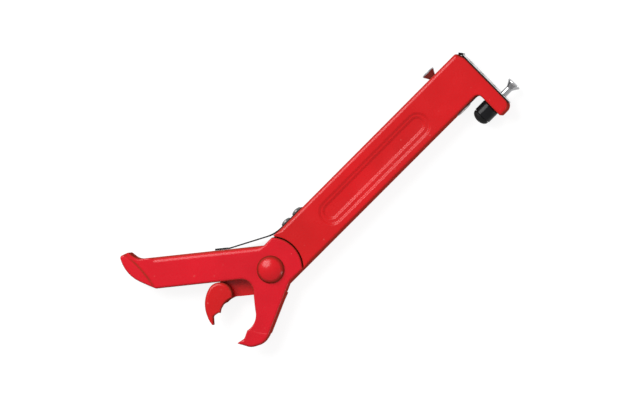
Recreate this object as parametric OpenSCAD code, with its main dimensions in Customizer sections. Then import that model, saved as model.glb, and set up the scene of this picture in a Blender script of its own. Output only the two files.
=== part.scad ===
// Fire hydrant wrench: a cast handle with a fixed claw, a hooked lever with a moving claw
// on a rivet, a leaf spring that holds the jaw open, and two spring plungers at the hook arm.
// The tool lies on its back. Z = 0 is the back face, and the rivet's axis is X = 0, Y = 0.

/* [Handle] */
// Thickness of the tool from back face to front face
thick = 22; // [20:0.5:26]
// Width of the handle bar
handle_w = 40; // [36:0.5:44]
// Rivet axis to the handle's end face
handle_len = 259.5; // [240:0.5:290]
// Length of the far top corner's bevel along the top edge
bevel_in = 2.7; // [2:0.1:4]
// Length of that bevel down the end face
bevel_down = 9.5; // [8:0.1:11]

/* [Grip recess] */
// Rivet axis to the near end of the recess
recess_start = 64.5; // [62:0.5:75]
// Length of the recess
recess_len = 134; // [100:1:136]
// Width of the recess at the surface
recess_w = 23.5; // [22:0.5:26]
// How far the recess lies below the middle of the handle
recess_low = 2.1; // [0:0.1:3]
// Width of the inner step
recess_inner_w = 14.4; // [10:0.2:16]
// How far the inner step lies below the middle of the handle
recess_inner_low = 1; // [0:0.1:2]
// Depth of each of the two steps
recess_step = 1.3; // [0.8:0.1:2]
// How far each step's wall leans in
recess_draft = 1; // [0.5:0.1:1.5]

/* [Hook arm] */
// Thickness of the hook arm along the handle
hook_arm_t = 13.5; // [13:0.5:17]
// Reach of the hook arm below the handle's lower edge
hook_arm_drop = 28.8; // [28:0.1:34]
// Fillet between the hook arm and the handle
hook_arm_fillet = 5; // [3:0.5:6]
// Outer corner radius at the hook arm's tip
hook_arm_tip_r = 7; // [4:0.5:9]

/* [Pivot] */
// Radius of the lever's round hub
hub_r = 29; // [28:0.5:30]
// Gap between the hub and the handle's hollow end
hub_gap = 1.2; // [0.8:0.1:2]
// Diameter of the rivet's shank
rivet_d = 14; // [12:0.5:16]
// Diameter of the rivet's domed head
rivet_head_d = 25.4; // [23:0.2:28]
// Height of the rivet's domed head
rivet_head_h = 6.5; // [5:0.5:8]
// Outer diameter of the rivet's flush tail
rivet_tail_d = 20; // [18:0.5:24]
// Depth of the countersink for the rivet's tail
rivet_tail_h = 3; // [2:0.5:4]
// Diameter of the thrust washer
washer_d = 30; // [26:0.5:34]
// Thickness of the thrust washer
washer_t = 0.8; // [0.5:0.1:1.2]
// Running clearance on the rivet and at each face of the washer
run_gap = 0.05; // [0.02:0.01:0.08]

/* [Lever arm] */
// Direction of the lever arm, measured from the handle
arm_a = 141.5; // [138:0.5:144]
// Height of the arm's top edge above the rivet axis
arm_top = 22.3; // [21:0.1:23]
// Depth of the arm's lower edge below the rivet axis
arm_bottom = 6.2; // [5:0.1:6.4]
// Rivet axis to the heel at the end of the arm's lower edge
arm_heel = 107; // [95:1:115]
// Radius from the rivet at which the arm takes the full thickness
arm_full_r = 66; // [64:1:72]

/* [Lever hook] */
// From the heel to where the hook rises from the arm's top edge
hook_root = 15; // [14:0.1:16]
// From the heel to the hook's back edge
hook_back = 22.3; // [21.5:0.1:23]
// From the heel to the hook's tip
hook_tip = 29.9; // [29:0.1:32]
// Rise of the hook above the arm's top edge
hook_rise = 7; // [5:0.5:9]
// From the heel to the corner of the hook's rounded belly
hook_belly = 26.3; // [25.5:0.1:27]
// Rise of that corner above the rivet axis
hook_belly_up = 8.8; // [8:0.1:9.4]
// Radius of the hook's belly
hook_belly_r = 32; // [26:1:33]
// Height of the raised lip above the front face
lip_h = 3; // [2:0.2:4]
// Radius of the hollow fillet along the lip
lip_fillet = 4; // [4:0.2:5]
// Radius of the lip's long curved edge
lip_curve_r = 97; // [80:1:120]
// From the heel to the lip's edge, on the arm's centre line
lip_root = 9.2; // [7:0.2:11]
// Lean of the lip's edge across the arm
lip_lean = 33; // [28:1:38]

/* [Claws] */
// Radius of both claw tips from the rivet
claw_tip_r = 73.8; // [73:0.1:75]
// Direction of the fixed claw's tip, measured from the lever arm
fixed_tip_a = 37.8; // [37:0.2:39]
// Swing of the lever from open to shut
jaw_swing = 20; // [19.5:0.1:20.5]
// Angle left between the claw tips with the jaw shut
jaw_shut_a = 1.2; // [1:0.1:1.8]
// Radius of the moving claw's small inner tooth from the rivet
tooth_r = 58.4; // [57.6:0.1:60]
// Angle from the moving claw's tip back to its tooth
tooth_a = 3.4; // [2.5:0.1:4]
// Radius of the notch between that tooth and the tip
notch_r = 67; // [65:0.5:68]
// Angle from the moving claw's tip back to its notch
notch_a = 3.6; // [3:0.1:4.5]
// Radius of the fixed claw's small inner tooth from the rivet
fixed_tooth_r = 62.6; // [61:0.2:64]
// Angle from the fixed claw's tip back to its tooth
fixed_tooth_a = 5; // [4:0.1:5.4]
// Radius of the notch between that tooth and the tip
fixed_notch_r = 68.2; // [67:0.2:69]
// Angle from the fixed claw's tip back to its notch
fixed_notch_a = 5.4; // [4.6:0.1:5.6]
// Radius of the fixed claw's rounded back
fixed_back_r = 28.3; // [27:0.1:30]
// Thickness of the fixed claw's blade, from the front face
fixed_claw_t = 9; // [8:0.5:11]
// Radius of the round jaw between the claws
jaw_r = 16.6; // [14:0.2:17]
// Rivet axis to the moving claw's inner wall
throat_x = 18.2; // [17:0.1:19]
// How far the round jaw bites into the walls that it runs into
jaw_bite = 0.2; // [0.1:0.1:0.6]
// Fillet between the moving claw and the arm
throat_fillet = 11; // [8:0.5:12]
// Radius from the rivet out to which the moving claw is deep
claw_deep_r = 58; // [56:0.5:60]
// Rise of the moving claw's back above the tool's back face
claw_lift = 4; // [2:0.5:6]
// Radius of the fixed claw's round knuckle
knuckle_r = 11.5; // [11.2:0.1:11.8]
// Rivet axis to the knuckle's centre, along the lever arm
knuckle_x = 49.6; // [49:0.1:51]
// Clearance of the stop between knuckle and arm
stop_gap = 0.4; // [0.2:0.05:0.6]
// Depth of the fixed claw's shank below the rivet axis
shank_bottom = 21.2; // [20:0.2:22]

/* [Leaf spring] */
// Width of the spring strip
leaf_w = 14; // [12:0.5:16]
// Thickness of the spring strip
leaf_t = 0.9; // [0.7:0.1:1.2]
// Rivet axis to the first leaf screw
leaf_screw_x = 39; // [38:0.5:42]
// Spacing of the two leaf screws
leaf_pitch = 13.6; // [12:0.2:16]
// From the second leaf screw to the strip's end
leaf_tail = 6.6; // [6:0.2:9]
// From the first leaf screw to where the strip starts to bend
leaf_lead = 5.5; // [5.5:0.1:7]
// Radius of the strip's bend over the hub
leaf_bend_r = 34; // [30:1:40]
// Rise of the strip's straight stretch
leaf_bend_a = 27.6; // [26:0.2:29]
// Rivet axis to the near end of the strip's foot, along the lever arm
leaf_foot_x = 38.6; // [37:0.2:41]
// Length of the strip's foot on the arm
leaf_foot_len = 11.3; // [9:0.1:14]
// Clearance between the foot and the arm
leaf_foot_gap = 0.1; // [0.05:0.05:0.3]
// Thread diameter of the leaf screws
leaf_screw_d = 6; // [5:0.5:6]
// Head diameter of the leaf screws
leaf_head_d = 10.4; // [9.5:0.1:11]
// Head height of the leaf screws
leaf_head_h = 3.3; // [3:0.1:3.6]
// Threaded length of the leaf screws below the strip
leaf_screw_len = 11; // [8:0.5:13]

/* [End plate] */
// Thickness of the end plate
plate_t = 1.2; // [0.8:0.1:1.4]
// Width of the end plate
plate_w = 20; // [16:0.5:21]
// How far the plate stops short of the hook arm's tip
plate_short = 3; // [1:0.5:4]
// Thickness of the lip at the plate's top end, which leans over the bevel
plate_lip_t = 2.2; // [1.6:0.1:2.4]
// Length of that lip
plate_lip_len = 4.4; // [3.5:0.1:5]
// Thread diameter of the plate screws
plate_screw_d = 4; // [3:0.5:4]
// Head diameter of the plate screws
plate_head_d = 7.2; // [6:0.1:8]
// Threaded length of the plate screws
plate_screw_len = 9; // [6:0.5:10]
// From the handle's top edge to the first plate screw
plate_screw_in = 15; // [14:0.5:17]
// From the press plunger's axis to the last plate screw
plate_screw_off = 12; // [11:0.5:14]

/* [Plungers] */
// Diameter of both plunger shafts
pin_d = 6.4; // [6:0.1:7]
// Sliding clearance around a plunger, on the radius
pin_gap = 0.08; // [0.05:0.01:0.1]
// Rim diameter of the flared pull heads
pull_d = 13.3; // [12:0.1:14]
// Length of the flared pull heads
pull_len = 6.6; // [6:0.1:7]
// Diameter of the spring wire
wire_d = 0.9; // [0.7:0.1:1]
// Clearance between a spring and its bore, on the radius
spring_gap = 0.4; // [0.3:0.1:0.6]

/* [Press plunger] */
// Handle's lower edge to the press plunger's axis
press_drop = 16.1; // [15.6:0.1:17]
// Travel of the press plunger
press_travel = 4.5; // [3:0.5:5]
// Length of shaft that shows between the end plate and the head
press_show = 7.7; // [7:0.1:10]
// Diameter of the foot collar
collar_d = 17.2; // [16.6:0.1:18]
// Length of the foot collar
collar_len = 12; // [10:0.1:12.4]
// Chamfer of the collar's edges
collar_chamfer = 1; // [0.5:0.1:1.5]
// Clearance between the collar and the hook arm
collar_gap = 0.2; // [0.05:0.05:0.3]
// Diameter of the rubber pad
pad_d = 16; // [15:0.1:16.4]
// Height of the rubber pad
pad_h = 6.2; // [5:0.1:6.6]
// Diameter of the pad's stem inside the collar
stem_d = 9; // [8:0.1:10]
// Length of the pad's stem
stem_len = 3.6; // [3:0.1:4]
// Diameter of the spring bore in the hook arm
press_bore_d = 12; // [11.5:0.1:12.5]
// Wall between the spring bore and the hook arm's inner face
press_wall = 3; // [2.5:0.1:3.5]
// Thickness of the retaining clip
clip_t = 0.8; // [0.6:0.1:1]
// Outer diameter of the retaining clip
clip_d = 11; // [10.5:0.1:11.2]
// Depth of the clip's groove in the shaft
clip_groove = 0.7; // [0.5:0.1:0.9]
// Gap between the clip and the end plate
clip_gap = 1; // [0.6:0.1:1.4]

/* [Lock plunger] */
// Handle's end face to the lock plunger's axis
lock_inset = 33.3; // [31:0.1:36]
// Travel of the lock plunger
lock_travel = 5; // [3:0.5:5]
// Diameter of the foot
foot_d = 16.1; // [15:0.1:16.5]
// Thickness of the foot
foot_t = 5.2; // [5:0.1:6]
// How far the foot stands out of the handle's lower edge
foot_proud = 1.1; // [0.8:0.1:1.5]
// Depth of the foot's bore in the handle
lock_bore_depth = 17; // [16:0.2:18]
// Clearance under the pull head
lock_seat_gap = 0.1; // [0.05:0.05:0.2]
// Thread diameter of the foot's screw
foot_screw_d = 4; // [3:0.5:4]
// Length of the foot's screw inside the shaft
foot_screw_len = 8; // [6:0.5:10]

/* [Hidden] */
$fn = 64;
eps = 1;                 // overshoot of a cutting solid
mid_z = thick / 2;       // height of the plungers, plate screws and leaf screws
edge_y = handle_w / 2;   // the handle's top and lower edges lie at +edge_y and -edge_y
hollow_r = hub_r + hub_gap;
tongue_t = (thick - washer_t) / 2 - run_gap;
half_z = thick - tongue_t;   // where the front half begins
hook_arm_tip_y = -edge_y - hook_arm_drop;
hook_arm_face_x = handle_len - hook_arm_t;
press_y = -edge_y - press_drop;
lock_x = handle_len - lock_inset;
// Heights of the three plate screws, the second one midway
plate_screw_top_y = edge_y - plate_screw_in;
plate_screw_low_y = press_y + plate_screw_off;
plate_screw_y = [plate_screw_top_y, (plate_screw_top_y + plate_screw_low_y) / 2,
    plate_screw_low_y];
paint = "firebrick";

// ---- helpers ----
function unit(v) = v / norm(v);
function polar(r, a) = [r * cos(a), r * sin(a)];
// A point given along the lever arm (u) and across it towards the claws (w)
function on_arm(u, w) = [u * cos(arm_a) - w * sin(arm_a), u * sin(arm_a) + w * cos(arm_a)];
function claw_point(r, a) = on_arm(r * cos(a), r * sin(a));
// The arc that rounds corner p between its neighbours a and b
function corner(p, a, b, r, steps = 6) = let (
        u = unit(a - p), w = unit(b - p), half = acos(u * w) / 2,
        o = p + unit(u + w) * r / sin(half),
        s = p + u * r / tan(half) - o, e = p + w * r / tan(half) - o,
        from = atan2(s[1], s[0]), sweep = (atan2(e[1], e[0]) - from + 540) % 360 - 180
    ) [for (i = [0:steps]) o + polar(r, from + sweep * i / steps)];
// A closed outline whose corners are [point, radius]
function outline(c) = let (n = len(c)) [for (i = [0:n - 1])
    each c[i][1] == 0 ? [c[i][0]]
        : corner(c[i][0], c[(i + n - 1) % n][0], c[(i + 1) % n][0], c[i][1])];

// A straight solid along X, from a centre point
module bar_x(d, l) rotate([0, 90, 0]) cylinder(d = d, h = l);
// The same along -Y, with its start at the top
module bar_down(d, l) rotate([90, 0, 0]) cylinder(d = d, h = l);

// ---- handle ----
module handle_plan() polygon(outline([
    [[0, edge_y], 0],
    [[handle_len - bevel_in, edge_y], 3],
    [[handle_len, edge_y - bevel_down], 8],
    [[handle_len, hook_arm_tip_y], hook_arm_tip_r],
    [[hook_arm_face_x, hook_arm_tip_y], 1.5],
    [[hook_arm_face_x, -edge_y], hook_arm_fillet],
    [[0, -edge_y], 0]]));

// The tongue behind the lever, with the shank that carries the fixed claw
module tongue_plan() {
    circle(r = edge_y);
    polygon([[0, edge_y], [hollow_r + eps, edge_y], [hollow_r + eps, -edge_y], [0, -edge_y]]);
    polygon([on_arm(0, 0), on_arm(knuckle_x, 0), on_arm(knuckle_x, shank_bottom),
        on_arm(0, shank_bottom)]);
}

knuckle_w = arm_bottom + stop_gap + knuckle_r;
jaw_centre = on_arm(throat_x + jaw_r - jaw_bite, shank_bottom + jaw_r - jaw_bite);
// The round space that both claws are cut to with the jaw open
module jaw_plan() translate(jaw_centre) circle(r = jaw_r, $fn = 120);

// The fixed claw's back is an arc that leaves the knuckle smoothly and runs to the tip
knuckle = on_arm(knuckle_x, knuckle_w);
fixed_tip = claw_point(claw_tip_r, fixed_tip_a);
back_off = fixed_back_r - knuckle_r;
back_reach = norm(fixed_tip - knuckle);
back_turn = acos((pow(fixed_back_r, 2) - pow(back_reach, 2) - pow(back_off, 2))
    / (2 * back_reach * back_off));
back_from = atan2(fixed_tip[1] - knuckle[1], fixed_tip[0] - knuckle[0]) - back_turn;
back_centre = knuckle - polar(back_off, back_from);
back_to = atan2(fixed_tip[1] - back_centre[1], fixed_tip[0] - back_centre[0]);
back_sweep = (back_to - back_from + 360) % 360;

module knuckle_plan() difference() {
    translate(knuckle) circle(r = knuckle_r);
    jaw_plan();
}
module fixed_claw_plan() difference() {
    polygon(outline(concat(
        [for (i = [0:15])
            [back_centre + polar(fixed_back_r, back_from + 3 + (back_sweep - 3) * i / 16), 0]],
        [[fixed_tip, 0.4],
            [claw_point(fixed_notch_r, fixed_tip_a - fixed_notch_a), 3],
            [claw_point(fixed_tooth_r, fixed_tip_a - fixed_tooth_a), 0.8],
            [jaw_centre, 0],
            [knuckle - (jaw_centre - knuckle) / 20, 0]])));
    jaw_plan();
}

// A racetrack cut whose walls lean in by recess_draft
module recess_cut(w, low, top_z) translate([0, -low, 0]) {
    grow = recess_draft * (1 + eps / recess_step);
    x0 = recess_start + recess_w / 2;
    x1 = recess_start + recess_len - recess_w / 2;
    narrow = w / 2 - recess_draft;
    for (x = [x0, x1]) translate([x, 0, top_z - recess_step])
        cylinder(r1 = narrow, r2 = narrow + grow, h = recess_step + eps);
    translate([x0, 0, top_z - recess_step]) rotate([90, 0, 90]) linear_extrude(x1 - x0)
        polygon([[-narrow, 0], [narrow, 0],
            [narrow + grow, recess_step + eps], [-narrow - grow, recess_step + eps]]);
}

module leaf_screw_place(i) translate([leaf_screw_x + i * leaf_pitch, edge_y, mid_z]) children();
module plate_screw_place(i) translate([handle_len, plate_screw_y[i], mid_z]) children();

module handle() color(paint) difference() {
    union() {
        linear_extrude(thick) difference() {
            handle_plan();
            circle(r = hollow_r);
        }
        linear_extrude(tongue_t) difference() {
            tongue_plan();
            jaw_plan();
        }
        linear_extrude(thick) knuckle_plan();
        translate([0, 0, thick - fixed_claw_t]) linear_extrude(fixed_claw_t) fixed_claw_plan();
    }
    recess_cut(recess_w, recess_low, thick);
    recess_cut(recess_inner_w, recess_inner_low, thick - recess_step);
    // rivet hole with its countersink at the back
    translate([0, 0, -eps]) cylinder(d = rivet_d, h = thick);
    rivet_tail();
    translate([0, 0, -eps]) cylinder(d = rivet_tail_d, h = eps);
    // tapped holes for the leaf and end plate screws
    for (i = [0, 1]) leaf_screw_place(i) translate([0, eps, 0])
        bar_down(leaf_screw_d, leaf_screw_len + eps + 1);
    for (i = [0:2]) plate_screw_place(i) translate([-plate_screw_len - 1, 0, 0])
        bar_x(plate_screw_d, plate_screw_len + eps + 1);
    // press plunger: guide bore, and spring bore from the end face
    translate([hook_arm_face_x - eps, press_y, mid_z]) bar_x(pin_d + 2 * pin_gap, hook_arm_t);
    translate([hook_arm_face_x + press_wall, press_y, mid_z]) bar_x(press_bore_d, hook_arm_t);
    // lock plunger: guide bore, and the foot's bore from the lower edge
    translate([lock_x, edge_y + eps, mid_z]) bar_down(pin_d + 2 * pin_gap, handle_w);
    translate([lock_x, lock_bore_depth - edge_y, mid_z])
        bar_down(foot_d + 2 * pin_gap, lock_bore_depth + eps);
}

// ---- lever ----
// Where the arm's top edge meets the line of the handle's top edge
shoulder_x = (arm_top + edge_y * cos(arm_a)) / sin(arm_a);
hub_flat_x = sqrt(hub_r * hub_r - edge_y * edge_y) - 0.5;
moving_tip_a = fixed_tip_a + jaw_swing + jaw_shut_a;
claw_heel_r = claw_tip_r - 0.6;
module lever_plan() difference() {
    lever_form();
    jaw_plan();
}
module lever_form() {
    intersection() {
        circle(r = hub_r, $fn = 120);
        translate([0, -edge_y]) square([hub_r, handle_w]);
    }
    polygon(outline([
        [[hub_flat_x, edge_y], 0],
        [[shoulder_x, edge_y], 2],
        [on_arm(arm_heel + hook_root, -arm_top), 11],
        [on_arm(arm_heel + hook_back, -arm_top - hook_rise), 1.5],
        [on_arm(arm_heel + hook_tip, -arm_top - hook_rise + 3), 2.5],
        [on_arm(arm_heel + hook_belly, -hook_belly_up), hook_belly_r],
        [on_arm(arm_heel, arm_bottom), 2],
        [on_arm(throat_x, arm_bottom), throat_fillet],
        [on_arm(throat_x, shank_bottom + jaw_r), 0],
        [jaw_centre, 0],
        [claw_point(tooth_r, moving_tip_a + tooth_a), 0.6],
        [claw_point(notch_r, moving_tip_a + notch_a), 4],
        [claw_point(claw_tip_r, moving_tip_a), 0.4],
        [claw_point(claw_heel_r, moving_tip_a + 10.4), 11],
        [claw_point(claw_heel_r - 6.5, moving_tip_a + 20.8), 15],
        [[4.6, -edge_y], 8],
        [[hub_flat_x, -edge_y], 0]]));
}

// The moving claw is deep where the fixed claw's shank never comes
deep_from = shank_bottom + 1;
module deep_plan() difference() {
    intersection() {
        lever_plan();
        circle(r = claw_deep_r, $fn = 120);
        polygon([on_arm(-arm_heel, deep_from), on_arm(arm_heel, deep_from),
            on_arm(arm_heel, arm_heel), on_arm(-arm_heel, arm_heel)]);
    }
    rotate(jaw_swing) polygon([on_arm(0, 0), on_arm(arm_heel, 0),
        on_arm(arm_heel, deep_from), on_arm(0, deep_from)]);
}

lip_middle = on_arm(arm_heel + lip_root, (arm_bottom - arm_top) / 2);
lip_centre = lip_middle + polar(lip_curve_r, arm_a + lip_lean);
// The round form whose edge the lip follows, with a hollow fillet at its foot
module lip_form() translate([lip_centre[0], lip_centre[1], thick])
    rotate_extrude($fn = 200) difference() {
        translate([0, -eps]) square([lip_curve_r + lip_fillet, lip_h + eps]);
        translate([lip_curve_r + lip_fillet, lip_fillet]) circle(r = lip_fillet);
    }

module lever() color(paint) difference() {
    union() {
        translate([0, 0, half_z]) linear_extrude(tongue_t) lever_plan();
        // the arm beyond the tongue is as thick as the tool
        linear_extrude(thick) intersection() {
            difference() {
                lever_plan();
                circle(r = arm_full_r, $fn = 120);
            }
            polygon([on_arm(0, arm_bottom + 0.01), on_arm(2 * arm_heel, arm_bottom + 0.01),
                on_arm(2 * arm_heel, -arm_heel), on_arm(0, -arm_heel)]);
        }
        translate([0, 0, claw_lift]) linear_extrude(thick - claw_lift) deep_plan();
        intersection() {
            lip_form();
            translate([0, 0, thick - eps]) linear_extrude(lip_h + 2 * eps) lever_plan();
        }
    }
    cylinder(d = rivet_d + 2 * run_gap, h = thick + eps);
}

// ---- pivot ----
module rivet_tail() cylinder(d1 = rivet_tail_d, d2 = rivet_d, h = rivet_tail_h);
module pivot_rivet() color("brown") {
    dome_r = (pow(rivet_head_d / 2, 2) + pow(rivet_head_h, 2)) / (2 * rivet_head_h);
    cylinder(d = rivet_d, h = thick + 2 * run_gap);
    rivet_tail();
    translate([0, 0, thick + run_gap]) intersection() {
        cylinder(d = rivet_head_d, h = rivet_head_h);
        translate([0, 0, rivet_head_h - dome_r]) sphere(r = dome_r, $fn = 96);
    }
}
module thrust_washer() color("goldenrod") translate([0, 0, tongue_t]) difference() {
    cylinder(d = washer_d, h = washer_t);
    translate([0, 0, -eps]) cylinder(d = rivet_d + 2 * run_gap, h = washer_t + 2 * eps);
}

// ---- leaf spring ----
leaf_line = edge_y + leaf_t / 2;   // the strip's middle, where it lies on the handle
leaf_bend_x = leaf_screw_x - leaf_lead;
foot_line = -arm_top - leaf_foot_gap - leaf_t / 2;
leaf_path = concat(
    [[leaf_screw_x + leaf_pitch + leaf_tail, leaf_line]],
    [for (a = [0:leaf_bend_a / 6:leaf_bend_a])
        [leaf_bend_x - leaf_bend_r * sin(a), leaf_line + leaf_bend_r * (1 - cos(a))]],
    [on_arm(leaf_foot_x, foot_line), on_arm(leaf_foot_x + leaf_foot_len, foot_line)]);
// The side of a path, at distance d to its left
function side(path, d) = [for (i = [0:len(path) - 1]) let (
        a = unit(path[i] - path[max(i - 1, 0)] + path[min(i + 1, len(path) - 1)] - path[i]))
    path[i] + d * [-a[1], a[0]]];
function reversed(v) = [for (i = [len(v) - 1:-1:0]) v[i]];

module leaf_spring() color("dimgray") difference() {
    translate([0, 0, mid_z - leaf_w / 2]) linear_extrude(leaf_w)
        polygon(concat(side(leaf_path, leaf_t / 2), reversed(side(leaf_path, -leaf_t / 2))));
    for (i = [0, 1]) leaf_screw_place(i) translate([0, leaf_t + eps, 0])
        bar_down(leaf_screw_d, leaf_t + 2 * eps);
}

module leaf_screw() color("silver") translate([0, leaf_t, 0]) difference() {
    union() {
        bar_down(leaf_screw_d, leaf_screw_len + leaf_t);
        // the head is a low dome with a straight rim
        rotate([-90, 0, 0]) intersection() {
            cylinder(d = leaf_head_d, h = leaf_head_h);
            translate([0, 0, leaf_head_h - leaf_head_d * 0.62])
                sphere(r = leaf_head_d * 0.62, $fn = 64);
        }
    }
    translate([0, leaf_head_h + eps, 0]) rotate([90, 0, 0])
        cylinder(d = leaf_head_d * 0.44, h = leaf_head_h * 0.6 + eps, $fn = 6);
}
module leaf_screw_front() leaf_screw_place(0) leaf_screw();
module leaf_screw_rear() leaf_screw_place(1) leaf_screw();

// ---- end plate ----
plate_low_y = hook_arm_tip_y + plate_short;
plate_low_z = mid_z - plate_w / 2;
// The lip leans in as much as it clears the bevel at its tip
lip_a = 128;
lip_tip_y = edge_y - bevel_down * 0.3;
lip_tip = [handle_len - bevel_in * 0.7 + 0.1, lip_tip_y];
lip_foot = lip_tip - polar(plate_lip_len, lip_a);
module plate_plan() {
    translate([handle_len, plate_low_y])
        square([plate_t, lip_foot[1] - plate_low_y + 0.8]);
    polygon([lip_foot, lip_foot + polar(plate_lip_t, lip_a - 90),
        lip_tip + polar(plate_lip_t, lip_a - 90), lip_tip]);
}
module plate_screw_head() rotate([0, 90, 0])
    cylinder(d1 = plate_head_d - 2 * plate_t, d2 = plate_head_d, h = plate_t);
module end_plate() color([0.06, 0.06, 0.06]) difference() {
    translate([0, 0, plate_low_z]) linear_extrude(plate_w) plate_plan();
    for (i = [0:2]) plate_screw_place(i) {
        plate_screw_head();
        translate([-eps, 0, 0]) bar_x(plate_screw_d, plate_t + 2 * eps);
    }
    translate([handle_len - eps, press_y, mid_z]) bar_x(pin_d + 2 * pin_gap, plate_t + 2 * eps);
}
module plate_screw() color([0.15, 0.15, 0.15]) difference() {
    union() {
        plate_screw_head();
        translate([-plate_screw_len, 0, 0]) bar_x(plate_screw_d, plate_screw_len + plate_t / 2);
    }
    translate([plate_t / 3, 0, 0]) bar_x(plate_head_d * 0.35, plate_t, $fn = 6);
}
module end_plate_screw_top() plate_screw_place(0) plate_screw();
module end_plate_screw_middle() plate_screw_place(1) plate_screw();
module end_plate_screw_bottom() plate_screw_place(2) plate_screw();

// ---- plungers ----
// A pull head with a hollow flare, its neck at z = 0 and its rim at z = pull_len
module pull_head() rotate_extrude() {
    flare = pull_len - 0.8;
    reach = (pull_d - pin_d) / 2;
    rim = [for (i = [0:10]) [pin_d / 2 + reach * pow(i / 10, 1.15), flare * i / 10]];
    polygon(concat([[0, 0]], rim,
        [[pull_d / 2, pull_len], [pull_d / 2 - 1, pull_len], [0, pull_len - 0.6]]));
}
// A compression spring along +z whose end turns lie closed
module coil(inner_d, length, turns) {
    sides = 8;
    per_turn = 14;
    rings = per_turn * turns;
    r = (inner_d + wire_d) / 2;
    closed = wire_d * 1.04;
    pitch = (length - wire_d - 2 * closed) / (turns - 2);
    centres = [for (i = [0:rings]) let (t = i / per_turn)
        wire_d / 2 + closed * min(t, 1) + pitch * max(0, min(t - 1, turns - 2))
        + closed * max(0, t - turns + 1)];
    points = [for (i = [0:rings]) for (j = [0:sides - 1]) let (
            a = 360 * i / per_turn, b = 360 * j / sides)
        [(r + wire_d / 2 * cos(b)) * cos(a), (r + wire_d / 2 * cos(b)) * sin(a),
            centres[i] + wire_d / 2 * sin(b)]];
    walls = [for (i = [0:rings - 1]) for (j = [0:sides - 1])
        [i * sides + j, i * sides + (j + 1) % sides,
            (i + 1) * sides + (j + 1) % sides, (i + 1) * sides + j]];
    polyhedron(points, concat(walls, [[for (j = [sides - 1:-1:0]) j]],
        [[for (j = [0:sides - 1]) rings * sides + j]]));
}

// Press plunger: X positions along its axis
press_neck_x = handle_len + plate_t + press_show;
collar_x = hook_arm_face_x - collar_gap;            // the collar's face at the hook arm
pin_end_x = collar_x - collar_len + stem_len;       // the shaft's end in the collar
clip_x = handle_len - clip_gap - clip_t;
press_spring_x = hook_arm_face_x + press_wall;
module press_place(x) translate([x, press_y, mid_z]) rotate([0, 90, 0]) children();

module press_pin() color("gainsboro") difference() {
    union() {
        press_place(pin_end_x) cylinder(d = pin_d, h = press_neck_x - pin_end_x);
        press_place(press_neck_x) pull_head();
    }
    press_place(clip_x) difference() {
        cylinder(d = pin_d + 2 * eps, h = clip_t);
        translate([0, 0, -eps]) cylinder(d = pin_d - 2 * clip_groove, h = clip_t + 2 * eps);
    }
}
module press_clip() color("gray") press_place(clip_x) difference() {
    cylinder(d = clip_d, h = clip_t);
    translate([0, 0, -eps]) cylinder(d = pin_d - 2 * clip_groove, h = clip_t + 2 * eps);
    translate([0, -clip_groove * 3, -eps]) cube([clip_d, clip_groove * 6, clip_t + 2 * eps]);
}
module press_spring() color("lightgray") press_place(press_spring_x)
    coil(press_bore_d - 2 * spring_gap - 2 * wire_d, clip_x - press_spring_x, 5);
module press_collar() color([0.08, 0.08, 0.08]) press_place(collar_x - collar_len) difference() {
    union() {
        cylinder(d = collar_d, h = collar_len - collar_chamfer);
        translate([0, 0, collar_len - collar_chamfer])
            cylinder(d1 = collar_d, d2 = collar_d - 2 * collar_chamfer, h = collar_chamfer);
    }
    translate([0, 0, -eps]) cylinder(d = stem_d, h = stem_len + eps);
    cylinder(d = pin_d, h = collar_len + eps);
}
module press_pad() color([0.12, 0.12, 0.12]) press_place(collar_x - collar_len) {
    cylinder(d = stem_d, h = stem_len);
    crown = pad_h - 0.8;
    crown_r = (pow(pad_d / 2, 2) + crown * crown) / (2 * crown);
    translate([0, 0, -0.8]) cylinder(d = pad_d, h = 0.8);
    translate([0, 0, -pad_h]) intersection() {
        cylinder(d = pad_d, h = crown);
        translate([0, 0, crown_r]) sphere(r = crown_r, $fn = 96);
    }
}

// Lock plunger: Y positions along its axis
lock_neck_y = edge_y + lock_seat_gap;
foot_low_y = -edge_y - foot_proud;
foot_top_y = foot_low_y + foot_t;
lock_roof_y = lock_bore_depth - edge_y;
module lock_place(y) translate([lock_x, y, mid_z]) rotate([-90, 0, 0]) children();

module lock_pin() color("gainsboro") difference() {
    union() {
        lock_place(foot_top_y) cylinder(d = pin_d, h = lock_neck_y - foot_top_y);
        lock_place(lock_neck_y) pull_head();
    }
    lock_place(foot_top_y - eps) cylinder(d = foot_screw_d, h = foot_screw_len + eps + 1);
}
module lock_spring() color("lightgray") lock_place(foot_top_y)
    coil(foot_d - 4 - 2 * wire_d, lock_roof_y - foot_top_y, 6);
foot_cone_h = 2.2;
module foot_screw_head() cylinder(d1 = foot_screw_d + 2 * foot_cone_h, d2 = foot_screw_d,
    h = foot_cone_h);
module lock_foot() color([0.08, 0.08, 0.08]) lock_place(foot_low_y) difference() {
    cylinder(d = foot_d, h = foot_t);
    foot_screw_head();
    translate([0, 0, -eps]) cylinder(d = foot_screw_d, h = foot_t + 2 * eps);
}
module lock_foot_screw() color("silver") lock_place(foot_low_y) difference() {
    union() {
        foot_screw_head();
        cylinder(d = foot_screw_d, h = foot_t + foot_screw_len);
    }
    translate([0, 0, -eps]) cylinder(d = foot_screw_d * 0.6, h = eps + 1.6, $fn = 6);
}

handle();
lever();
pivot_rivet();
thrust_washer();
leaf_spring();
leaf_screw_front();
leaf_screw_rear();
end_plate();
end_plate_screw_top();
end_plate_screw_middle();
end_plate_screw_bottom();
press_pin();
press_clip();
press_spring();
press_collar();
press_pad();
lock_pin();
lock_spring();
lock_foot();
lock_foot_screw();
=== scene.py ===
"""Looks of the hydrant wrench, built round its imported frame.

Lengths are millimetres, except for the lamps, the camera and the floor, which are in metres."""
import math

import bmesh
import bpy
import numpy as np
from mathutils import Matrix, Vector
from mathutils.geometry import delaunay_2d_cdt


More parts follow.
